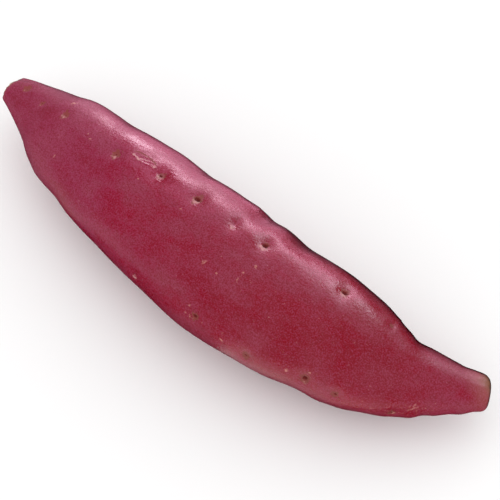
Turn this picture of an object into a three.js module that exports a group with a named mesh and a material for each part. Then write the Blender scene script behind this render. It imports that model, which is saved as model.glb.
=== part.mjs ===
// Sweet potato: one root, grown as one piece, lying on a small flat spot.
// Millimetres, +Z up. X runs along the root, with the broken stem end at -X and the bent tail at +X.
// The ridge with the larger eyes leans towards +Y. The origin is under the middle of the root's box.
import * as THREE from "three";

// Driving dimensions
const stemX = -116.7; // plane of the broken stem end
const tailX = 115.0; // tip of the tail
const tailRound = 3.8; // length over which the tail rounds off
const tailSquare = 3.2; // above 2, the tail ends blunter than a ball does
const stemChamfer = 1.1; // the broken edge is worn back by this much
const faceShare = 0.82; // share of the girth that the broken face takes
const chipDepth = 1.3; // the broken end is worn back further by this much on one side
const chipTurn = 60; // degrees, that side
const chipSpread = 34; // degrees to each side
const chipFade = 5.0; // length over which it dies out
const ovalness = 0.06; // share by which the root is lower than it is wide
const ovalTurn = 5; // degrees, direction of the wide way across, from +Y towards +Z
const cornering = 0.014; // share by which the four rows of eyes stand out as soft corners
const cornerTurn = 77; // degrees, the first row of eyes
const threeSided = 0.02; // share by which it bulges on three sides, flattening the broad face
const threeSidedTurn = 290; // degrees, the bulge that the root rests on
const unevenness = 0.010; // share by which the root swells and thins unevenly
const longSwell = 11; // length over which the first, two-sided unevenness turns by a radian
const longSwellShift = -0.65; // radians, where along the root it starts
const shortSwell = 7.3; // the same length for the second, three-sided unevenness
const shortSwellShare = 0.8; // its strength against the first
const eyeDepth = 0.9; // depth of the largest eye's dimple
const eyeAlong = 2.6; // half length of that dimple, along the root
const eyeAround = 3.6; // half width of that dimple, around the root
const eyeSpread = 0.8; // every dimple is this much longer and wider

// Mesh density
const slices = 102; // along the root
const rays = 40; // around the root
const faceRings = 3; // rings across the broken end
const tailRings = 6; // rings over the rounded tail
const rayCrowding = 0.13; // radians by which rays move towards the rows of eyes
const slopeStep = 0.5; // half the length over which the centre line's direction is taken

// Centre line and girth: x, sideways, height, radius
const stations = [
  [-116.7, 12.9, 20.5, 6.1],
  [-104.5, 11.8, 21.0, 10.2],
  [-93.5, 10.4, 21.4, 14.4],
  [-84.5, 8.6, 21.9, 18.0],
  [-71.5, 6.2, 22.6, 20.8],
  [-43.5, 3.6, 24.0, 24.0],
  [7.5, -0.8, 25.3, 27.2],
  [38.5, 0.3, 24.9, 25.8],
  [63.5, 3.0, 23.0, 23.0],
  [76.5, 5.2, 21.2, 19.5],
  [84.5, 8.3, 20.2, 16.4],
  [92.5, 12.1, 19.3, 12.9],
  [103.5, 16.8, 18.2, 10.2],
  [109.5, 20.3, 17.6, 8.7],
  [115.0, 23.5, 17.0, 7.4],
];

// Eyes, where side roots grew: x, degrees around from +Y towards +Z, size against the largest
const eyes = [
  [-107.3, 88, 0.5],
  [-95.0, 98, 0.5],
  [-81.0, 90, 0.7],
  [-51.0, 90, 0.8],
  [-31.0, 79, 0.9],
  [-12.5, 76, 1.0],
  [5.5, 75, 0.8],
  [20.0, 72, 1.0],
  [53.5, 66, 0.9],
  [74.0, 62, 0.5],
  [-80.5, 144, 0.4],
  [-15.5, 171, 0.5],
  [13.0, 162, 0.7],
  [35.0, 170, 0.8],
  [57.0, 163, 1.0],
  [68.5, 165, 0.7],
  [84.5, 178, 0.5],
  [-92.0, 262, 0.6],
  [-61.0, 255, 0.9],
  [-39.0, 250, 0.7],
  [47.0, 246, 0.8],
  [72.0, 252, 0.6],
  [-99.0, 340, 0.6],
  [-70.0, 351, 0.8],
  [-47.0, 338, 0.9],
  [-22.0, 344, 0.7],
  [1.0, 336, 1.0],
  [30.0, 346, 0.8],
  [58.0, 340, 0.9],
  [88.0, 350, 0.6],
];

// Broad hollows across the root, and swellings where the depth is below 0:
// x, degrees around, depth, half length, half width around
const hollows = [
  [-62.0, 40, 0.9, 7.5, 14.0],
  [-38.0, 26, -0.5, 7.0, 10.0],
  [-23.5, 38, 0.4, 5.0, 11.0],
  [10.5, 38, 1.1, 6.0, 12.0],
  [29.0, 36, 1.2, 7.0, 13.0],
  [-8.0, 36, -0.9, 9.0, 12.0],
  [50.0, 38, -1.2, 11.0, 12.0],
  [87.5, 34, 0.9, 3.5, 9.0],
  [79.5, 30, -0.5, 4.0, 9.0],
  [0.0, 283, -0.9, 26.0, 12.0],
  [-72.0, 220, 0.8, 9.0, 12.0],
  [-28.0, 203, -0.9, 14.0, 14.0],
  [3.0, 200, -0.3, 8.0, 12.0],
  [-79.0, 188, -0.5, 5.0, 9.0],
  [-18.0, 268, 0.7, 6.0, 12.0],
  [53.0, 210, 1.1, 8.0, 12.0],
  [91.5, 203, -1.5, 4.0, 8.0],
  [98.5, 199, -0.6, 3.0, 7.0],
  [104.0, 199, 0.5, 3.0, 7.0],
  [28.0, 194, 0.35, 9.0, 12.0],
  [62.0, 196, -0.3, 4.0, 9.0],
  [78.0, 199, 0.9, 4.0, 8.0],
  [-66.0, 190, 0.5, 5.0, 9.0],
  [3.0, 30, -0.8, 6.0, 12.0],
  [-81.0, 30, -0.7, 7.0, 10.0],
  [111.5, 198, 1.2, 4.5, 7.0],
  [58.0, 300, 1.2, 8.0, 14.0],
  [-84.0, 318, 1.0, 8.0, 12.0],
  [-30.0, 310, 0.9, 7.0, 13.0],
];

// Value of one station column at x, by a smooth curve through the stations
function along(column, x) {
  const slopeAt = (i) => {
    const before = stations[Math.max(i - 1, 0)];
    const after = stations[Math.min(i + 1, stations.length - 1)];
    return (after[column] - before[column]) / (after[0] - before[0]);
  };
  let i = 0;
  while (i < stations.length - 2 && x > stations[i + 1][0]) i += 1;
  const [from, to] = [stations[i], stations[i + 1]];
  const gap = to[0] - from[0];
  const t = (x - from[0]) / gap;
  const bend = (1 - t) * gap * slopeAt(i) - t * gap * slopeAt(i + 1);
  const straight = to[column] - from[column];
  const ease = t * t * (3 - 2 * t);
  return from[column] + straight * ease + t * (1 - t) * bend;
}

// Turn from a direction in degrees to an angle, between half a turn back and half a turn on
function turnFrom(degrees, angle) {
  const turn = angle - THREE.MathUtils.degToRad(degrees);
  return Math.atan2(Math.sin(turn), Math.cos(turn));
}

// Distance from the centre line to the skin, before the ends close
function girth(x, angle) {
  const radius = along(3, x);
  const oval = -ovalness * Math.sin(turnFrom(ovalTurn, angle)) ** 2;
  const corners = cornering * Math.cos(4 * turnFrom(cornerTurn, angle));
  const sides = threeSided * Math.cos(3 * turnFrom(threeSidedTurn, angle));
  const swellTwo = Math.sin(x / longSwell + longSwellShift + 2 * angle);
  const swellThree = shortSwellShare * Math.sin(x / shortSwell - 3 * angle);
  const dimple = (x0, degrees, depth, halfLength, halfWidth) => {
    const off = turnFrom(degrees, angle) * radius;
    return depth * Math.exp(-(((x - x0) / halfLength) ** 2) - (off / halfWidth) ** 2);
  };
  let skin = radius * (1 + oval + corners + sides + unevenness * (swellTwo + swellThree));
  for (const [x0, degrees, size] of eyes) {
    const [halfLength, halfWidth] = [eyeAlong * size + eyeSpread, eyeAround * size + eyeSpread];
    skin -= dimple(x0, degrees, eyeDepth * size, halfLength, halfWidth);
  }
  for (const hollow of hollows) skin -= dimple(...hollow);
  return skin;
}

// Point of the skin at x, at an angle around, and at a share of the way out from the centre line
function skinPoint(x, angle, share) {
  const slope = (column) => {
    const rise = along(column, x + slopeStep) - along(column, x - slopeStep);
    return rise / (2 * slopeStep);
  };
  const forward = new THREE.Vector3(1, slope(1), slope(2)).normalize();
  const side = new THREE.Vector3(-forward.y, forward.x, 0).normalize();
  const rise = new THREE.Vector3().crossVectors(forward, side);
  const reach = girth(x, angle) * share;
  const point = new THREE.Vector3(x, along(1, x), along(2, x));
  point.addScaledVector(side, reach * Math.cos(angle));
  point.addScaledVector(rise, reach * Math.sin(angle));
  const acrossChip = turnFrom(chipTurn, angle) / THREE.MathUtils.degToRad(chipSpread);
  const alongChip = (x - stemX) / chipFade;
  const worn = chipDepth * share * Math.exp(-(acrossChip ** 2) - alongChip ** 2);
  point.addScaledVector(forward, worn);
  point.z = Math.max(point.z, 0); // the flat spot that the root rests on
  return point;
}

// Profile turned into the root: share of the girth across, place along
function endToEnd() {
  const profile = [];
  for (let i = 0; i <= faceRings; i += 1) {
    profile.push(new THREE.Vector2((faceShare * i) / faceRings, stemX));
  }
  const bodyEnd = tailX - tailRound;
  for (let i = 0; i <= slices; i += 1) {
    profile.push(new THREE.Vector2(1, THREE.MathUtils.lerp(stemX + stemChamfer, bodyEnd, i / slices)));
  }
  for (let i = 1; i < tailRings; i += 1) {
    const turn = ((Math.PI / 2) * i) / tailRings;
    const x = bodyEnd + tailRound * Math.sin(turn) ** (2 / tailSquare);
    profile.push(new THREE.Vector2(Math.cos(turn) ** (2 / tailSquare), x));
  }
  profile.push(new THREE.Vector2(0, tailX));
  return profile;
}

// The root: a turned body, then every point moved out to the skin
function rootGeometry() {
  const profile = endToEnd();
  const body = new THREE.LatheGeometry(profile, rays);
  const place = body.getAttribute("position");
  for (let i = 0; i < place.count; i += 1) {
    const { x: share, y: x } = profile[i % profile.length];
    const even = (2 * Math.PI * Math.floor(i / profile.length)) / rays;
    const towardRow = Math.sin(4 * (even - THREE.MathUtils.degToRad(cornerTurn)));
    const point = skinPoint(x, even - rayCrowding * towardRow, share);
    place.setXYZ(i, point.x, point.y, point.z);
  }
  body.computeVertexNormals();
  return body;
}

const skin = new THREE.MeshStandardMaterial({ color: 0x913345, roughness: 0.45, metalness: 0 });

const root = new THREE.Mesh(rootGeometry(), skin);
root.name = "sweet_potato";

const sweetPotato = new THREE.Group();
sweetPotato.add(root);

export default sweetPotato;
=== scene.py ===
import math
import bmesh
import bpy
import numpy as np
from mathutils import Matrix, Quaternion, Vector, noise


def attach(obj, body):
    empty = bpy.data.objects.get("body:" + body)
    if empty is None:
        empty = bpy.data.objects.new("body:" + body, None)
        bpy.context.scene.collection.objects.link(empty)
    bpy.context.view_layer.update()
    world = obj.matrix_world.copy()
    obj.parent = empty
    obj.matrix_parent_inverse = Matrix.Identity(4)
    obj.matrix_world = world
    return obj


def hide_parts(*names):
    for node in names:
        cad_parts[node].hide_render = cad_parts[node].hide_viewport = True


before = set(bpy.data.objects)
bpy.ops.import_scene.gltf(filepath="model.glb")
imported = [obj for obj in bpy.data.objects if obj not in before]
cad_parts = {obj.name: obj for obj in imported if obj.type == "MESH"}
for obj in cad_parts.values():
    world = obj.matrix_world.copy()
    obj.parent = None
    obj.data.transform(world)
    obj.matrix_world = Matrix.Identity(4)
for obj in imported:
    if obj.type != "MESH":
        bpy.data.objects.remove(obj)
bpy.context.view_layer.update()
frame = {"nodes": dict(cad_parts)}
mm = 0.001  # the root's values are in millimetres, Blender's in metres
print("frame loaded:", ", ".join(frame["nodes"]))

# Camera, looking down on the root from its broad face's side
camera = {
    "target": (7.5, 13.0, 24.0),
    "azimuth": 39.0,  # degrees, 0 looks along +Y
    "elevation": 60.0,
    "distance": 808.0,
    "lens": 150.0,
    "sensor": 36.0,
}


def addCamera():
    turn = math.radians(camera["azimuth"])
    tilt = math.radians(camera["elevation"])
    back = Vector((math.sin(turn) * math.cos(tilt), -math.cos(turn) * math.cos(tilt), math.sin(tilt)))
    data = bpy.data.cameras.new("photoCamera")
    data.lens = camera["lens"]
    data.sensor_width = camera["sensor"]
    eye = bpy.data.objects.new("photoCamera", data)
    eye.location = (Vector(camera["target"]) + back * camera["distance"]) * mm
    eye.rotation_euler = back.to_track_quat("Z", "Y").to_euler()
    bpy.context.scene.collection.objects.link(eye)
    bpy.context.scene.camera = eye


addCamera()
print("camera placed")

# The root, in mm; down to the hollows, its shape is the solid's
root = {
    "stemX": -116.7,  # plane of the broken stem end
    "tailX": 115.0,  # tip of the tail
    "tailRound": 3.8,  # length over which the tail rounds off
    "tailSquare": 3.2,  # above 2, the tail ends blunter than a ball does
    "stemChamfer": 1.1,  # the broken edge is worn back by this much
    "faceShare": 0.82,  # share of the girth that the broken face takes
    "chipDepth": 1.3,  # the broken end is worn back further by this much on one side
    "chipTurn": 60,  # degrees, that side
    "chipSpread": 34,  # degrees to each side
    "chipFade": 5.0,  # length over which it dies out
    "ovalness": 0.06,  # share by which the root is lower than it is wide
    "ovalTurn": 5,  # degrees from +Y towards +Z
    "cornering": 0.014,  # share by which the four rows of eyes stand out as soft corners
    "cornerTurn": 77,
    "threeSided": 0.02,  # share by which it bulges on three sides
    "threeSidedTurn": 290,
    "unevenness": 0.010,  # share by which it swells and thins unevenly
    "longSwell": 11,  # length over which the first, two-sided unevenness turns by a radian
    "longSwellShift": -0.65,  # radians, where along the root it starts
    "shortSwell": 7.3,  # the same length for the second, three-sided unevenness
    "shortSwellShare": 0.8,  # its strength against the first
    "slopeStep": 0.5,  # half the length over which the centre line's direction is taken
    "eyeDepth": 0.9,  # depth of the largest eye's dimple
    "eyeAlong": 2.6,
    "eyeAround": 3.6,
    "eyeSpread": 0.8,  # every dimple is this much longer and wider
    "stations": [  # centre line and girth: x, sideways, height, radius
        (-116.7, 12.9, 20.5, 6.1),
        (-104.5, 11.8, 21.0, 10.2),
        (-93.5, 10.4, 21.4, 14.4),
        (-84.5, 8.6, 21.9, 18.0),
        (-71.5, 6.2, 22.6, 20.8),
        (-43.5, 3.6, 24.0, 24.0),
        (7.5, -0.8, 25.3, 27.2),
        (38.5, 0.3, 24.9, 25.8),
        (63.5, 3.0, 23.0, 23.0),
        (76.5, 5.2, 21.2, 19.5),
        (84.5, 8.3, 20.2, 16.4),
        (92.5, 12.1, 19.3, 12.9),
        (103.5, 16.8, 18.2, 10.2),
        (109.5, 20.3, 17.6, 8.7),
        (115.0, 23.5, 17.0, 7.4),
    ],
    # eyes: x, degrees from +Y towards +Z, size, hole radius, pale lip, brown scab
    "eyes": [
        (-107.3, 88, 0.5, 0.12, 0.4, 1.2),
        (-95.0, 98, 0.5, 0.12, 0.3, 1.0),
        (-81.0, 90, 0.7, 0.14, 0.6, 1.4),
        (-51.0, 90, 0.8, 0.20, 0.6, 1.4),
        (-31.0, 79, 0.9, 0.35, 0.8, 0.9),
        (-12.5, 76, 1.0, 0.70, 0.9, 1.4),
        (5.5, 75, 0.8, 0.15, 0.8, 0.3),
        (20.0, 72, 1.0, 0.75, 1.1, 0.8),
        (53.5, 66, 0.9, 0.60, 0.9, 1.2),
        (74.0, 62, 0.5, 0.15, 0.1, 0.9),
        (-80.5, 144, 0.4, 0.10, 0.5, 0.5),
        (-15.5, 171, 0.5, 0.15, 0.9, 0.3),
        (13.0, 162, 0.7, 0.45, 0.4, 1.1),
        (35.0, 170, 0.8, 0.25, 0.3, 1.2),
        (57.0, 163, 1.0, 0.65, 0.35, 1.3),
        (68.5, 165, 0.7, 0.30, 0.1, 1.0),
        (84.5, 178, 0.5, 0.35, 0.2, 1.0),
        (-92.0, 262, 0.6, 0.35, 0.5, 0.8),
        (-61.0, 255, 0.9, 0.55, 0.7, 0.8),
        (-39.0, 250, 0.7, 0.45, 0.5, 0.6),
        (47.0, 246, 0.8, 0.50, 0.6, 0.9),
        (72.0, 252, 0.6, 0.35, 0.5, 0.6),
        (-99.0, 340, 0.6, 0.40, 0.5, 0.8),
        (-70.0, 351, 0.8, 0.50, 0.7, 0.7),
        (-47.0, 338, 0.9, 0.60, 0.7, 0.8),
        (-22.0, 344, 0.7, 0.40, 0.5, 0.6),
        (1.0, 336, 1.0, 0.70, 0.8, 0.8),
        (30.0, 346, 0.8, 0.55, 0.6, 0.8),
        (58.0, 340, 0.9, 0.60, 0.7, 0.9),
        (88.0, 350, 0.6, 0.35, 0.5, 0.7),
    ],
    # broad hollows, and swellings where the depth is below 0: x, degrees, depth, half length, half width
    "hollows": [
        (-62.0, 40, 0.9, 7.5, 14.0),
        (-38.0, 26, -0.5, 7.0, 10.0),
        (-23.5, 38, 0.4, 5.0, 11.0),
        (10.5, 38, 1.1, 6.0, 12.0),
        (29.0, 36, 1.2, 7.0, 13.0),
        (-8.0, 36, -0.9, 9.0, 12.0),
        (50.0, 38, -1.2, 11.0, 12.0),
        (87.5, 34, 0.9, 3.5, 9.0),
        (79.5, 30, -0.5, 4.0, 9.0),
        (0.0, 283, -0.9, 26.0, 12.0),
        (-72.0, 220, 0.8, 9.0, 12.0),
        (-28.0, 203, -0.9, 14.0, 14.0),
        (3.0, 200, -0.3, 8.0, 12.0),
        (-79.0, 188, -0.5, 5.0, 9.0),
        (-18.0, 268, 0.7, 6.0, 12.0),
        (53.0, 210, 1.1, 8.0, 12.0),
        (91.5, 203, -1.5, 4.0, 8.0),
        (98.5, 199, -0.6, 3.0, 7.0),
        (104.0, 199, 0.5, 3.0, 7.0),
        (28.0, 194, 0.35, 9.0, 12.0),
        (62.0, 196, -0.3, 4.0, 9.0),
        (78.0, 199, 0.9, 4.0, 8.0),
        (-66.0, 190, 0.5, 5.0, 9.0),
        (3.0, 30, -0.8, 6.0, 12.0),
        (-81.0, 30, -0.7, 7.0, 10.0),
        (111.5, 198, 1.2, 4.5, 7.0),
        (58.0, 300, 1.2, 8.0, 14.0),
        (-84.0, 318, 1.0, 8.0, 12.0),
        (-30.0, 310, 0.9, 7.0, 13.0),
    ],
    # swells between the larger eyes: x, degrees, height, half length, half width
    "swells": [
        (-22.5, 73, 0.35, 5.0, 5.0),
        (-3.0, 72, 0.40, 5.5, 5.0),
        (12.5, 71, 0.45, 4.5, 5.0),
        (30.0, 68, 0.45, 6.0, 5.0),
        (61.5, 63, 0.50, 5.0, 5.0),
    ],
    # dry flakes and scratches: x, degrees, half length, half width, tilt, paleness, height
    "marks": [
        (-83.6, 69, 1.5, 0.50, -62, 0.8, 0.06),
        (-64.2, 94, 0.7, 0.50, 0, 0.5, 0.05),
        (-66.5, 91, 0.5, 0.25, 70, 0.7, 0.05),
        (-71.7, 136, 0.8, 0.30, -84, 0.7, 0.04),
        (-14.2, 94, 0.5, 0.35, -60, 0.8, 0.06),
        (-36.3, 97, 0.4, 0.30, 0, 0.6, 0.04),
        (10.2, 155, 0.7, 0.45, -84, 0.6, 0.05),
        (9.5, 164, 0.5, 0.40, 20, 0.6, 0.05),
        (11.3, 165, 0.5, 0.35, 60, 0.7, 0.05),
        (24.9, 166, 0.7, 0.50, 20, 0.8, 0.05),
        (50.0, 161, 1.0, 0.55, -84, 0.7, 0.05),
        (57.8, 153, 0.4, 0.30, 0, 0.6, 0.04),
        (76.7, 140, 0.4, 0.30, 0, 0.6, 0.04),
        (91.0, 162, 1.9, 1.10, -60, 0.22, 0.05),
        (7.0, 118, 1.8, 0.55, -84, 0.50, 0.05),
        (12.5, 119, 0.4, 0.35, -30, 0.6, 0.04),
        (22.7, 95, 0.8, 0.60, -80, 0.66, 0.05),
        (20.4, 111, 3.4, 0.80, -84, 0.36, 0.02),
    ],
    "markLonger": 1.15,  # every mark is drawn longer and wider by these factors
    "markWider": 1.25,
    "markRagged": 0.5,
    # waves of the skin: height, noise turns in one wave length, noise seed, stretch along and across
    "waves": [(0.09, 2.2, 1, (0.45, 1, 1)), (0.0315, 6.0, 2, (1, 1, 1))],
    "waveLength": 9.0,
    "ragged": [(1.0, 0.9, 3), (0.5, 2.1, 4)],  # frays eyes and marks: share, scale, noise seed
    "noiseStep": (7.3, 3.1, 5.7),  # from one seed's noise to the next
    # the sheet that is wrapped into the root
    "rowGap": 0.75,  # along the body
    "endGap": 0.35,  # along the ends and across the broken face
    "endLength": 12,  # length over which the rows spread out
    "columns": 164,
    "seam": 270,  # degrees, the sheet's two sides meet below the root
    "fineReach": (4.6, 2.3),  # it is made finer within these distances of an eye or mark
    "bodyShare": 0.99,  # a row is on the body from this share of the girth out
    "calmShare": 0.3,  # skin relief dies out within this share, where rows close to a point
    "weldGap": 0.001,  # points closer than this are joined
    "uvMargin": 0.004,
}

# One eye, in mm; most of it grows with the eye's size
eyeForm = {
    "bowlDepth": 0.32,  # the middle of the dimple is deeper than the solid's
    "bowlAlong": 2.1,
    "bowlAround": 2.4,
    "bowlShift": 0.4,  # towards the brow
    "holeLonger": 1.15,  # the hole is this much longer than wide
    "holeRagged": 0.45,
    "holeDepth": 1.1,  # share of the hole's radius
    "holeSteep": 2.2,  # power with which its wall falls
    "ringHeight": 0.08,  # a low ring around the hole
    "ringAt": 1.9,  # in hole radii
    "ringWidth": 0.45,
    "ringBreaks": (0.5, 1.2, 0, 2),  # middle, strength, least and most of what is left of it
    "lipHeight": 0.36,  # a pale lip on the broad face's side
    "lipLine": (1.0, 0.9, 0.14, 0.5),  # distance, more with the hole's radius, bend, raggedness
    "lipLong": 1.9,
    "lipWide": 0.6,
    "lipBreaks": (0.7, 1.2, 0, 2),
    "browDepth": 0.05,  # a faint groove on the other side
    "browLine": (1.5, 0.9, 0.12, -0.4),
    "browLong": 1.8,
    "browWide": 0.35,
    "holePaint": (0.05, 1.5, 3),  # radius, more with the hole's, steepness
    "scabPaint": 1.2,
    "scabLong": (0.7, 1.2),  # half length, more with the eye's size
    "scabWide": (1.0, 1.6),
    "scabRagged": 0.5,
    "flakeLong": 2.2,
    "flakeWide": 1.1,
    "flakeShift": 0.3,  # beyond the lip
}

# A lens-shaped patch of wrinkled dry skin
wrinkles = {
    "x": -41.0,
    "degrees": 76.5,
    "halfLength": 5.4,
    "halfWidth": 1.9,
    "tilt": -4,
    "ragged": 0.12,
    "rimWidth": 0.42,
    "rimReach": 1.2,  # the rim ends at this share of the half length
    "rimHeight": 0.14,
    "sink": 0.12,
    "foldHeight": 0.06,
    "foldAcross": 3.4,  # radians a mm
    "foldAlong": 1.3,
    "foldRagged": 2,
    "foldLevel": 0.3,
    "foldFade": 1.6,
    "lowerSide": (0.55, 0.7),  # the rim stands up on the side nearer the broad face
    "breaks": (0.75, 1.1, 0.1, 1.4),
    "rimFlake": 0.9,
    "foldFlake": 0.75,
    "upperRimBrown": 1.2,
}

# The broken stem end and the dry tail
ends = {
    "creaseHeight": 0.10,  # lengthwise creases
    "stemCreases": 14,  # length over which they die out
    "tailCreases": 9,
    "creasesAround": (9, 14),
    "creaseShare": 0.7,  # the finer ones against the others
    "creaseBend": 0.9,
    "creaseBendLength": 3.1,
    "creaseTwistLength": 5,
    "faceRim": 0.1,  # share of the girth by which the broken face's colour spreads
    "faceFade": 0.12,
    "faceReach": 1.0,
    "fibres": [(1.0, 2.2, 11), (0.6, 5.0, 12)],  # share, scale, noise seed
    "fibreHeight": 0.35,
    "dish": 0.45,  # the face is hollow by this much
    "ringHeight": 0.25,  # a ring stands up under the skin
    "ringAt": 0.62,
    "ringWidth": 0.07,
    "tornEdge": [(0.45, 0.9, 13)],  # height, scale, noise seed
    "tornLength": 1.3,
    "tornFrom": 0.7,  # share of the girth
    "tornFade": 0.2,
    # painted patches: degrees, radians to each side, strength, distance from the end, half length
    "tailFlecks": (172, 0.3, 0.26, 27, 17),
    "stemScab": (82, 0.5, 0.5, 6, 5),
    "dryTurn": 50,  # degrees, the tail is driest on this side
    "dryTurnShare": 0.4,
    "dryTail": 7.5,  # length over which it dies out
    "dryStem": (0.8, 1.6),
}


def along(column, x):  # value of one station column at x, by a smooth curve through the stations
    table = np.array(root["stations"])
    place, value = table[:, 0], table[:, column]
    last = len(place) - 1
    before = np.maximum(np.arange(last + 1) - 1, 0)
    after = np.minimum(np.arange(last + 1) + 1, last)
    slope = (value[after] - value[before]) / (place[after] - place[before])
    i = np.clip(np.searchsorted(place, x) - 1, 0, last - 1)
    gap = place[i + 1] - place[i]
    t = (x - place[i]) / gap
    bend = (1 - t) * gap * slope[i] - t * gap * slope[i + 1]
    ease = t * t * (3 - 2 * t)
    return value[i] + (value[i + 1] - value[i]) * ease + t * (1 - t) * bend


def turnFrom(angle, degrees):  # radians from a direction, between half a turn back and half a turn on
    off = angle - math.radians(degrees)
    return np.arctan2(np.sin(off), np.cos(off))


def bell(off, width):  # 1 in the middle, dying out on both sides
    return np.exp(-((off / width) ** 2))


def hump(p, q, long, wide):  # the same along and across
    return np.exp(-((p / long) ** 2) - (q / wide) ** 2)


def breakUp(ragged, middle, strength, least, most):
    return np.clip(middle + strength * ragged, least, most)


def girth(x, angle):  # distance from the centre line to the skin, before the ends close
    radius = along(3, x)
    oval = -root["ovalness"] * np.sin(turnFrom(angle, root["ovalTurn"])) ** 2
    corners = root["cornering"] * np.cos(4 * turnFrom(angle, root["cornerTurn"]))
    sides = root["threeSided"] * np.cos(3 * turnFrom(angle, root["threeSidedTurn"]))
    swellTwo = np.sin(x / root["longSwell"] + root["longSwellShift"] + 2 * angle)
    swellThree = root["shortSwellShare"] * np.sin(x / root["shortSwell"] - 3 * angle)
    reach = radius * (1 + oval + corners + sides + root["unevenness"] * (swellTwo + swellThree))
    dimples = list(root["hollows"])
    for x0, degrees, size, hole, lip, scab in root["eyes"]:
        long, wide = (root[name] * size + root["eyeSpread"] for name in ("eyeAlong", "eyeAround"))
        dimples.append((x0, degrees, root["eyeDepth"] * size, long, wide))
    for x0, degrees, depth, long, wide in dimples:
        reach = reach - depth * hump(x - x0, turnFrom(angle, degrees) * radius, long, wide)
    return reach


def profileRows():  # x and share of the girth for each row, closer together at both ends
    count = 4000  # trial points along the body, far more than rows
    face = np.linspace(0, root["faceShare"], count // 8)
    edge = np.linspace(0, 1, count // 16)[1:]
    turn = np.linspace(0, math.pi / 2, count // 4)[1:]
    power = 2 / root["tailSquare"]
    edgeX = root["stemX"] + root["stemChamfer"] * edge
    edgeShare = root["faceShare"] + (1 - root["faceShare"]) * edge
    bodyX = np.linspace(edgeX[-1], root["tailX"] - root["tailRound"], count)[1:]
    capX = root["tailX"] - root["tailRound"] * (1 - np.sin(turn) ** power)
    x = np.concatenate([face * 0 + root["stemX"], edgeX, bodyX, capX])
    share = np.concatenate([face, edgeShare, bodyX * 0 + 1, np.cos(turn) ** power])
    share[-1] = 0
    step = np.hypot(np.diff(x), np.diff(share * along(3, x)))
    fromEnd = np.minimum(x - root["stemX"], root["tailX"] - x)[1:]
    more = np.clip(fromEnd / root["endLength"], 0, 1)
    gap = root["endGap"] + (root["rowGap"] - root["endGap"]) * more
    rowAt = np.concatenate([[0], np.cumsum(step / gap)])
    rows = np.linspace(0, rowAt[-1], int(rowAt[-1]) + 1)
    return np.interp(rows, rowAt, x), np.interp(rows, rowAt, share)


def sampleNoise(points, layers):  # smooth noise, one value a point, from layers of share, scale and seed
    total = np.zeros(len(points))
    for share, scale, seed in layers:
        shift = Vector([seed * step for step in root["noiseStep"]])
        total += share * np.array([noise.noise(Vector(point) * scale + shift) for point in points])
    return total


def rootPoints(x, share, angle, lift, push):
    step = root["slopeStep"]
    slopeY, slopeZ = ((along(i, x + step) - along(i, x - step)) / (2 * step) for i in (1, 2))
    forward = np.stack([np.ones_like(x), slopeY, slopeZ], 1)
    forward /= np.linalg.norm(forward, axis=1)[:, None]
    side = np.stack([-forward[:, 1], forward[:, 0], np.zeros_like(x)], 1)
    side /= np.linalg.norm(side, axis=1)[:, None]
    rise = np.cross(forward, side)
    reach = girth(x, angle) * share + lift
    fromChip = turnFrom(angle, root["chipTurn"])
    chip = hump(fromChip, x - root["stemX"], math.radians(root["chipSpread"]), root["chipFade"])
    push = push + root["chipDepth"] * share * chip
    centre = np.stack([x, along(1, x), along(2, x)], 1)
    outward = side * np.cos(angle)[:, None] + rise * np.sin(angle)[:, None]
    points = centre + outward * reach[:, None] + forward * push[:, None]
    points[:, 2] = np.maximum(points[:, 2], 0)  # the flat spot that the root rests on
    return points


def localPlace(x, angle, x0, degrees, tilt=0):  # along and across a mark, in mm
    p = x - x0
    q = turnFrom(angle, degrees) * along(3, x)
    c, s = math.cos(math.radians(tilt)), math.sin(math.radians(tilt))
    return p * c + q * s, q * c - p * s


def addSwells(x, angle, lift):
    for x0, degrees, height, long, wide in root["swells"]:
        p, q = localPlace(x, angle, x0, degrees)
        lift += height * hump(p, q, long, wide)


def curvedLine(p, ragged, hole, line):  # how far out a lip or brow runs
    distance, more, bend, fray = line
    return distance + more * hole - bend * p ** 2 + fray * ragged


def addEyes(x, angle, ragged, lift, paint):
    form = eyeForm
    for x0, degrees, size, hole, lip, scab in root["eyes"]:
        p, q = localPlace(x, angle, x0, degrees)
        bowl = hump(p, q + form["bowlShift"], form["bowlAlong"], form["bowlAround"])
        lift -= form["bowlDepth"] * size * bowl
        out = np.hypot(p / form["holeLonger"], q) * (1 + form["holeRagged"] * ragged)
        lift -= form["holeDepth"] * hole * np.exp(-((out / hole) ** form["holeSteep"]))
        ring = bell(out - form["ringAt"] * hole, form["ringWidth"])
        lift += form["ringHeight"] * size * ring * breakUp(ragged, *form["ringBreaks"])
        fromLip = q - curvedLine(p, ragged, hole, form["lipLine"])
        lipShape = hump(p, fromLip, form["lipLong"] * size, form["lipWide"])
        lift += form["lipHeight"] * lip * lipShape * breakUp(ragged, *form["lipBreaks"])
        fromBrow = q + curvedLine(p, ragged, hole, form["browLine"])
        lift -= form["browDepth"] * size * hump(p, fromBrow, form["browLong"] * size, form["browWide"])
        radius, more, steep = form["holePaint"]
        paint["hole"] += np.exp(-((out / (radius + more * hole)) ** steep))
        long, wide = (least + more * size for least, more in (form["scabLong"], form["scabWide"]))
        smear = np.hypot(p / long, q / wide) * (1 + form["scabRagged"] * ragged)
        paint["scab"] += form["scabPaint"] * scab * np.exp(-(smear ** 2))
        beyond = fromLip - form["flakeShift"]
        paint["flake"] += lip * hump(p, beyond, form["flakeLong"] * size, form["flakeWide"])


def addMarks(x, angle, ragged, lift, paint):
    for x0, degrees, long, wide, tilt, pale, height in root["marks"]:
        p, q = localPlace(x, angle, x0, degrees, tilt)
        q = q * (1 + root["markRagged"] * ragged)
        shape = np.exp(-((p / long / root["markLonger"]) ** 4) - (q / wide / root["markWider"]) ** 2)
        lift += height * shape
        paint["fleck"] += pale * shape


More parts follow.
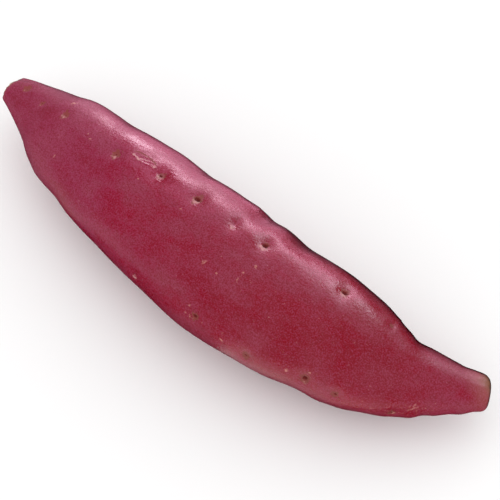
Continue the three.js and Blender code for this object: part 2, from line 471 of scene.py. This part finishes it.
def addWrinkles(x, angle, ragged, lift, paint):
    p, q = localPlace(x, angle, wrinkles["x"], wrinkles["degrees"], wrinkles["tilt"])
    across = q / wrinkles["halfWidth"]
    inside = 1 - (p / wrinkles["halfLength"]) ** 2 - across ** 2 + wrinkles["ragged"] * ragged
    rim = bell(inside, wrinkles["rimWidth"]) * (np.abs(p) < wrinkles["halfLength"] * wrinkles["rimReach"])
    wave = np.sin(q * wrinkles["foldAcross"] + p * wrinkles["foldAlong"] + wrinkles["foldRagged"] * ragged)
    folds = np.clip(wrinkles["foldFade"] * inside, 0, 1) * np.clip(wrinkles["foldLevel"] + wave, 0, 1)
    middle, more = wrinkles["lowerSide"]
    lower = np.clip(middle + more * across, 0, 1)
    lift += wrinkles["rimHeight"] * rim * lower + wrinkles["foldHeight"] * folds
    lift -= wrinkles["sink"] * np.clip(inside, 0, 1)
    dry = wrinkles["rimFlake"] * rim * lower + wrinkles["foldFlake"] * folds
    paint["flake"] += dry * breakUp(ragged, *wrinkles["breaks"])
    # the rim's upper side, away from the broad face, is painted darker in the scab colour
    paint["scab"] += wrinkles["upperRimBrown"] * rim * (1 - lower)


def endPatch(angle, fromEnd, patch):
    degrees, spread, strength, distance, long = patch
    return strength * bell(turnFrom(angle, degrees), spread) * bell(fromEnd - distance, long)


def addEnds(x, share, angle, points, lift, push, paint):
    fromStem = x - root["stemX"]
    fromTail = root["tailX"] - x
    bent = ends["creaseBend"] * np.sin(x / ends["creaseBendLength"])
    few, many = ends["creasesAround"]
    creases = np.sin(angle * few + bent)
    creases += ends["creaseShare"] * np.sin(angle * many + x / ends["creaseTwistLength"])
    nearEnds = bell(fromStem, ends["stemCreases"]) + bell(fromTail, ends["tailCreases"])
    lift += ends["creaseHeight"] * nearEnds * creases * share
    face = np.clip((root["faceShare"] + ends["faceRim"] - share) / ends["faceFade"], 0, 1)
    face *= fromStem < ends["faceReach"]
    fibres = ends["fibreHeight"] * sampleNoise(points, ends["fibres"])
    ring = ends["ringHeight"] * bell(share - ends["ringAt"], ends["ringWidth"])
    push += face * (fibres - ends["dish"] * (1 - share ** 2) + ring)
    torn = bell(fromStem, ends["tornLength"]) * np.clip((share - ends["tornFrom"]) / ends["tornFade"], 0, 1)
    push += torn * sampleNoise(points, ends["tornEdge"])
    paint["brokenEnd"] += face
    paint["fleck"] += endPatch(angle, fromTail, ends["tailFlecks"])
    paint["scab"] += endPatch(angle, fromStem, ends["stemScab"])
    turned = np.cos(turnFrom(angle, ends["dryTurn"]))
    dry = 1 - ends["dryTurnShare"] + ends["dryTurnShare"] * turned
    strength, long = ends["dryStem"]
    paint["driedTip"] += dry * bell(fromTail, ends["dryTail"]) + strength * bell(fromStem, long)


def flatSheet(rows, columns):  # a grid in row and column numbers
    sheet = bmesh.new()
    corners = [[sheet.verts.new((row, column, 0)) for column in range(columns + 1)] for row in range(rows)]
    for row in range(rows - 1):
        for column in range(columns):
            sheet.faces.new((
                corners[row][column], corners[row][column + 1],
                corners[row + 1][column + 1], corners[row + 1][column],
            ))
    return sheet


def makeFiner(sheet, unroll):  # around eyes, marks and wrinkles, twice
    middles = [(x0, degrees, 0.0) for x0, degrees, size, hole, lip, scab in root["eyes"]]
    middles += [(mark[0], mark[1], max(mark[2] - 1, 0)) for mark in root["marks"]]
    middles.append((wrinkles["x"], wrinkles["degrees"], wrinkles["halfLength"] - 1))
    for reach in root["fineReach"]:
        faces = list(sheet.faces)
        x, share, angle = unroll(np.array([face.calc_center_median()[:2] for face in faces]))
        close = np.zeros(len(faces), bool)
        for x0, degrees, more in middles:
            close |= np.hypot(*localPlace(x, angle, x0, degrees)) < reach + more
        close &= share > root["bodyShare"]
        picked = {edge for face, isClose in zip(faces, close) if isClose for edge in face.edges}
        bmesh.ops.subdivide_edges(sheet, edges=list(picked), cuts=1, use_grid_fill=True)
    bmesh.ops.triangulate(sheet, faces=[face for face in sheet.faces if len(face.verts) > 4])


def makeRoot():
    rowX, rowShare = profileRows()
    rowNumbers = np.arange(len(rowX))
    columns = root["columns"]
    sheet = flatSheet(len(rowX), columns)
    print("sheet:", len(rowX), "rows,", columns, "columns")

    def unroll(place):  # row and column numbers to x, share and angle
        x = np.interp(place[:, 0], rowNumbers, rowX)
        share = np.interp(place[:, 0], rowNumbers, rowShare)
        return x, share, math.radians(root["seam"]) + place[:, 1] / columns * 2 * math.pi

    makeFiner(sheet, unroll)
    x, share, angle = unroll(np.array([vert.co[:2] for vert in sheet.verts]))
    lift, push = np.zeros_like(x), np.zeros_like(x)
    smooth = rootPoints(x, share, angle, lift, push)
    ragged = sampleNoise(smooth, root["ragged"])
    for height, turns, seed, stretch in root["waves"]:
        wave = [(height, turns / root["waveLength"], seed)]
        lift += sampleNoise(smooth * np.array(stretch), wave) * share
    paint = {name: np.zeros_like(x) for name in ("hole", "scab", "fleck", "flake", "brokenEnd", "driedTip")}
    addSwells(x, angle, lift)
    addEyes(x, angle, ragged, lift, paint)
    addMarks(x, angle, ragged, lift, paint)
    addWrinkles(x, angle, ragged, lift, paint)
    addEnds(x, share, angle, smooth, lift, push, paint)
    lift *= np.clip(share / root["calmShare"], 0, 1)
    points = rootPoints(x, share, angle, lift, push) * mm

    layers = {name: sheet.verts.layers.float.new(name) for name in paint}
    for i, vert in enumerate(sheet.verts):
        for name, layer in layers.items():
            vert[layer] = min(float(paint[name][i]), 1.0)
    uv = sheet.loops.layers.uv.new("OFBake")
    margin = root["uvMargin"]
    for face in sheet.faces:
        for loop in face.loops:
            row, column = loop.vert.co[0] / (len(rowX) - 1), loop.vert.co[1] / columns
            loop[uv].uv = (margin + (1 - 2 * margin) * row, margin + (1 - 2 * margin) * column)
    for vert, point in zip(sheet.verts, points):
        vert.co = point
    bmesh.ops.remove_doubles(sheet, verts=sheet.verts, dist=root["weldGap"] * mm)
    bmesh.ops.recalc_face_normals(sheet, faces=sheet.faces)
    for face in sheet.faces:
        face.smooth = True

    mesh = bpy.data.meshes.new("rootSkin")
    sheet.to_mesh(mesh)
    sheet.free()
    piece = bpy.data.objects.new("rootSkin", mesh)
    bpy.context.scene.collection.objects.link(piece)
    triangles = sum(len(face.vertices) - 2 for face in mesh.polygons)
    print("root made:", len(mesh.vertices), "points,", triangles, "triangles")
    return piece


# Colours as seen on a screen, 0 to 255
colours = {
    "crimson": (144, 22, 40),
    "magenta": (150, 23, 68),
    # pale haze: random hazy tone, and the painted sheen on the near lower edge
    "hazeAndSheen": (153, 56, 84),
    "deep": (132, 10, 26),
    "scab": (134, 56, 42),
    "hole": (108, 26, 22),
    "flake": (206, 148, 148),
    "fleck": (192, 122, 112),
    "tan": (178, 128, 116),
    "olive": (132, 92, 58),
    # near-black, for the painted shade along the far edge
    "edge": (56, 8, 12),
    "fibre": (186, 150, 118),
    "core": (214, 190, 158),
    "floor": (250, 250, 250),
}


def colour(name):  # a screen colour as Blender's linear one
    def linear(part):
        part /= 255
        return part / 12.92 if part <= 0.04045 else ((part + 0.055) / 1.055) ** 2.4
    return tuple(linear(part) for part in colours[name]) + (1.0,)


class Wire:  # a node's output that takes part in plain arithmetic
    def __init__(self, finish, socket):
        self.finish = finish
        self.socket = socket

    def maths(self, operation, first, second):
        return self.finish.node("ShaderNodeMath", {"operation": operation}, {0: first, 1: second})

    def __add__(self, other):
        return self.maths("ADD", self, other)

    def __radd__(self, other):
        return self.maths("ADD", other, self)

    def __sub__(self, other):
        return self.maths("SUBTRACT", self, other)

    def __rsub__(self, other):
        return self.maths("SUBTRACT", other, self)

    def __mul__(self, other):
        return self.maths("MULTIPLY", self, other)

    def __rmul__(self, other):
        return self.maths("MULTIPLY", other, self)


class Finish:  # one material and the nodes in it
    def __init__(self, name):
        self.material = bpy.data.materials.new(name)
        self.material.use_nodes = True
        self.nodes = self.material.node_tree.nodes
        self.links = self.material.node_tree.links
        self.nodes.clear()

    def node(self, kind, settings, sockets, out=0):
        made = self.nodes.new(kind)
        for name, value in settings.items():
            setattr(made, name, value)
        for name, value in sockets.items():
            if isinstance(value, Wire):
                self.links.new(value.socket, made.inputs[name])
            else:
                made.inputs[name].default_value = value
        return Wire(self, made.outputs[out]) if made.outputs else None

    def noise(self, place, scale, detail):
        return self.node("ShaderNodeTexNoise", {}, {"Vector": place, "Scale": scale, "Detail": detail})

    def vector(self, operation, first, second, out):
        return self.node("ShaderNodeVectorMath", {"operation": operation}, {0: first, 1: second}, out)

    def part(self, place, axis):
        return self.node("ShaderNodeSeparateXYZ", {}, {0: place}, axis)

    def between(self, value, low, high):  # 0 at low and 1 at high, smooth in the middle
        sockets = {"Value": value, "From Min": low, "From Max": high}
        return self.node("ShaderNodeMapRange", {"interpolation_type": "SMOOTHSTEP"}, sockets)

    def mix(self, share, first, second):
        return self.node("ShaderNodeMix", {"data_type": "RGBA"}, {0: share, 6: first, 7: second}, 2)

    def attribute(self, name):
        return self.node("ShaderNodeAttribute", {"attribute_name": name}, {}, "Fac")

    def shader(self, sockets):
        return self.node("ShaderNodeBsdfPrincipled", {}, sockets)

    def surface(self, shader):
        self.node("ShaderNodeOutputMaterial", {}, {"Surface": shader})


# The red skin; places along the root are in metres from its middle
skinLook = {
    # noises: scale and detail
    "broad": (42.0, 1.0),  # patches of about 2 cm
    "patch": (110.0, 2.0),  # patches of about 9 mm
    "mottle": (420.0, 2.0),  # spots of about 2 mm
    "grain": (1900.0, 1.0),  # grain of about half a millimetre
    "rough": (900.0, 3.0),  # breaks up the edges of scabs and flecks
    "pores": (1000.0, 2.0),
    "stretch": (0.5, 1.0, 1.0),  # the patches run along the root
    "patchiness": (0.5, 0.42, 0.08),  # shares of broad, patch and mottle
    # where magenta gives way to crimson, and where the tail begins: raggedness, from, to
    "crimsonFrom": (0.16, -0.09, 0.05),
    "tailFrom": (0.05, 0.060, 0.105),
    "tailMagenta": 0.15,
    # colours laid over the skin in this order: from, to, cover, colour
    "hazy": (0.45, 0.63, 0.42, "hazeAndSheen"),
    "deepRed": (0.51, 0.38, 0.6, "deep"),
    "paleGrain": (0.42, 0.75, 0.75, "hazeAndSheen"),
    "darkGrain": (0.58, 0.25, 0.9, "deep"),
    "dryTan": (0.05, 0.9, 0.30, "tan"),
    "dryOlive": (0.65, 1.05, 0.8, "olive"),
    # painted sheen on the near side's lower edge: from, to, cover, colour
    "nearEdgeSheen": (0.30, 0.0, 0.6, "hazeAndSheen"),
    "dryRagged": 0.7,
    # places painted on the mesh: raggedness, from, to, cover
    "places": {
        "scab": (1.4, 0.45, 0.85, 0.85),
        "fleck": (1.8, 0.30, 0.75, 0.75),
        "flake": (1.5, 0.25, 0.95, 0.8),
        "hole": (0.5, 0.35, 0.8, 1.0),
        "brokenEnd": (0.4, 0.4, 0.6, 1.0),
    },
    "fibres": (0.4, 0.65),
    "upFront": (0.315, -0.389, 0.866),  # direction; a painted sheen in the pale haze colour lies on the near side where the skin turns down from it, in place of the floor's reflection
    "farSide": (-0.2, 0.3),  # from and to, the skin's direction along Y
    # roughness of the skin, and what patches and places add to it
    "roughness": 0.35,
    "rougher": {"patch": 0.6, "mottle": 0.3, "onTail": 0.06, "stem": 0.18},
    "rougherPlaces": {"flake": 0.3, "scab": 0.3, "brokenEnd": 0.3, "hole": 0.4},
    "stemFrom": (-0.045, -0.085),
    "shineTint": (1.0, 0.72, 0.87, 1.0),
    "bump": 0.00014,
    "bumpMottle": 0.3,
    # painted shade: at a grazing angle on the far side a near-black mirror is mixed in and darkens the far
    # edge: from, to, strength
    "softPaintedShade": (0.45, 0.85, 0.47),
    "hardPaintedShade": (0.68, 0.97, 0.79),
    "tailPaintedShade": 0.10,
    "paintedShadeFrom": (0.65, -0.01, 0.03),  # its strength towards the stem, from, to
    "paintedShadeRoughness": 0.45,
}


def skinFinish():
    look = skinLook
    finish = Finish("redSkin")
    place = finish.node("ShaderNodeTexCoord", {}, {}, "Object")
    facing = finish.node("ShaderNodeTexCoord", {}, {}, "Normal")
    lengthwise = finish.vector("MULTIPLY", place, look["stretch"], 0)
    broad, patch = (finish.noise(lengthwise, *look[name]) for name in ("broad", "patch"))
    mottle, grain, rough, pores = (
        finish.noise(place, *look[name]) for name in ("mottle", "grain", "rough", "pores")
    )
    fromMiddle = finish.part(place, "X")
    farSide = finish.between(finish.part(facing, "Y"), *look["farSide"])

    def laid(colourNow, value, name):  # one more colour over those so far
        low, high, cover, over = look[name]
        return finish.mix(finish.between(value, low, high) * cover, colourNow, colour(over))

    ragged, low, high = look["crimsonFrom"]
    towardTail = finish.between(fromMiddle + ragged * (broad - 0.5), low, high)
    colourNow = finish.mix(towardTail, colour("magenta"), colour("crimson"))
    ragged, low, high = look["tailFrom"]
    onTail = finish.between(fromMiddle + ragged * (patch - 0.5), low, high)
    colourNow = finish.mix(onTail * look["tailMagenta"], colourNow, colour("magenta"))
    shares = look["patchiness"]
    patchy = shares[0] * broad + shares[1] * patch + shares[2] * mottle
    for value, name in ((patchy, "hazy"), (patchy, "deepRed"), (grain, "paleGrain"), (grain, "darkGrain")):
        colourNow = laid(colourNow, value, name)

    driedTip = finish.attribute("driedTip") + look["dryRagged"] * (patch - 0.5)
    for name in ("dryTan", "dryOlive"):
        colourNow = laid(colourNow, driedTip, name)
    covers = {name: colour(name) for name in ("scab", "fleck", "flake", "hole")}
    fibres = finish.between(rough, *look["fibres"])
    covers["brokenEnd"] = finish.mix(fibres, colour("fibre"), colour("core"))
    masks = {}
    for name, (ragged, low, high, cover) in look["places"].items():
        masks[name] = finish.between(finish.attribute(name) + ragged * (rough - 0.5), low, high)
        colourNow = finish.mix(masks[name] * cover, colourNow, covers[name])
    # painted sheen: the pale colour laid on the near side where the skin turns down, in place of the floor's
    # reflection
    low, high, cover, over = look["nearEdgeSheen"]
    paintedSheenMask = finish.between(finish.vector("DOT_PRODUCT", facing, look["upFront"], "Value"), low, high)
    colourNow = finish.mix(paintedSheenMask * (1 - farSide) * cover, colourNow, colour(over))

    rougher = look["rougher"]
    gloss = look["roughness"] + rougher["patch"] * (patch - 0.5) + rougher["mottle"] * (mottle - 0.5)
    gloss = gloss + rougher["onTail"] * onTail
    gloss = gloss + rougher["stem"] * finish.between(fromMiddle, *look["stemFrom"])
    for name, more in look["rougherPlaces"].items():
        gloss = gloss + more * masks[name]
    height = pores + look["bumpMottle"] * mottle
    normal = finish.node("ShaderNodeBump", {}, {"Strength": 1.0, "Distance": look["bump"], "Height": height})
    matte = finish.shader({
        "Base Color": colourNow,
        "Roughness": gloss,
        "Normal": normal,
        "Specular Tint": look["shineTint"],
    })
    # a near-black mirror, mixed in below as painted shade along the far edge
    shadeMirror = finish.shader({
        "Base Color": colour("edge"),
        "Metallic": 1.0,
        "Roughness": look["paintedShadeRoughness"],
        "Normal": normal,
    })

    # painted shade: the far side darkens at grazing angles, more towards the tail
    grazing = finish.node("ShaderNodeLayerWeight", {}, {"Blend": 0.5}, "Facing")
    least, low, high = look["paintedShadeFrom"]
    paintedShadeReach = farSide * (least + (1 - least) * finish.between(fromMiddle, low, high))
    low, high, strength = look["softPaintedShade"]
    soft = finish.between(grazing + look["tailPaintedShade"] * onTail, low, high) * paintedShadeReach * strength
    low, high, strength = look["hardPaintedShade"]
    hard = finish.between(grazing, low, high) * paintedShadeReach * strength
    paintedShadeShare = 1 - (1 - soft) * (1 - hard)
    finish.surface(finish.node("ShaderNodeMixShader", {}, {0: paintedShadeShare, 1: matte, 2: shadeMirror}))
    return finish.material


piece = makeRoot()
piece.data.materials.append(skinFinish())
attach(piece, "root")
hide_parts("sweet_potato")
print("skin finished")

# Floor, and soft studio light
studio = {
    "floorSize": 12.0,
    "floorRoughness": 0.9,
    "sky": 1.12,
    # lights that only show as a shine
    # place, direction they come from, roll in degrees, length, height, brightness, tint
    "softboxes": {
        "leftSoftbox": ((-0.45, 0.788, 0.25), (-0.22, 0.80, 0.34), -30, 0.4, 0.24, 8.2, (0.88, 1.0, 1.0)),
        "rightSoftbox": ((0.09, 0.800, 0.58), (-0.22, 0.80, 0.34), -30, 0.5, 0.24, 10.0, (0.80, 1.0, 1.0)),
        "wideSoftbox": ((-0.37, 0.83, 0.30), (-0.22, 0.80, 0.34), -30, 0.7, 0.50, 4.0, (1.0, 0.50, 0.74)),
        "highSoftbox": ((-0.39, 0.39, 0.71), (-0.39, 0.39, 0.71), 0, 0.40, 0.30, 3.0, (1.0, 0.60, 0.80)),
        "backCard": ((-0.19, 0.235, 0.001), (0.0, 0.0, -1.0), 0, 0.36, 0.30, 2.5, (1.0, 0.42, 0.62)),
        "stemCard": ((-0.17, -0.10, 0.001), (0.0, 0.0, -1.0), 0, 0.20, 0.14, 0.7, (1.0, 0.95, 0.95)),
        "tailCard": ((0.15, -0.10, 0.001), (0.0, 0.0, -1.0), 0, 0.26, 0.14, 0.9, (1.0, 0.95, 0.90)),
    },
}


def floorFinish():
    finish = Finish("paleFloor")
    finish.surface(finish.shader({
        "Base Color": colour("floor"),
        "Roughness": studio["floorRoughness"],
        "Specular IOR Level": 0.0,
    }))
    return finish.material


def addFloor():
    half = studio["floorSize"] / 2
    corners = [(-half, -half, 0), (half, -half, 0), (half, half, 0), (-half, half, 0)]
    mesh = bpy.data.meshes.new("floor")
    mesh.from_pydata(corners, [], [(0, 1, 2, 3)])
    floor = bpy.data.objects.new("floor", mesh)
    floor.data.materials.append(floorFinish())
    floor.visible_glossy = False  # the cards stand in for its shine on the root
    bpy.context.scene.collection.objects.link(floor)


def addSky():
    world = bpy.data.worlds.new("paleRoom")
    world.use_nodes = True
    background = world.node_tree.nodes["Background"]
    background.inputs["Color"].default_value = (1.0, 1.0, 1.0, 1.0)
    background.inputs["Strength"].default_value = studio["sky"]
    world.cycles_visibility.glossy = False
    bpy.context.scene.world = world


def addSoftbox(name, place, fromSide, roll, long, high, brightness, tint):
    light = bpy.data.lights.new(name, "AREA")
    light.shape = "RECTANGLE"
    light.size = long
    light.size_y = high
    light.energy = brightness * math.pi * long * high
    light.color = tint
    box = bpy.data.objects.new(name, light)
    box.location = place
    turned = Vector(fromSide).to_track_quat("Z", "Y") @ Quaternion((0, 0, 1), math.radians(roll))
    box.rotation_euler = turned.to_euler()
    box.visible_camera = False
    box.visible_diffuse = False
    bpy.context.scene.collection.objects.link(box)


addFloor()
addSky()
for name, values in studio["softboxes"].items():
    addSoftbox(name, *values)
bpy.context.scene.view_settings.view_transform = "Standard"
print("studio lit")

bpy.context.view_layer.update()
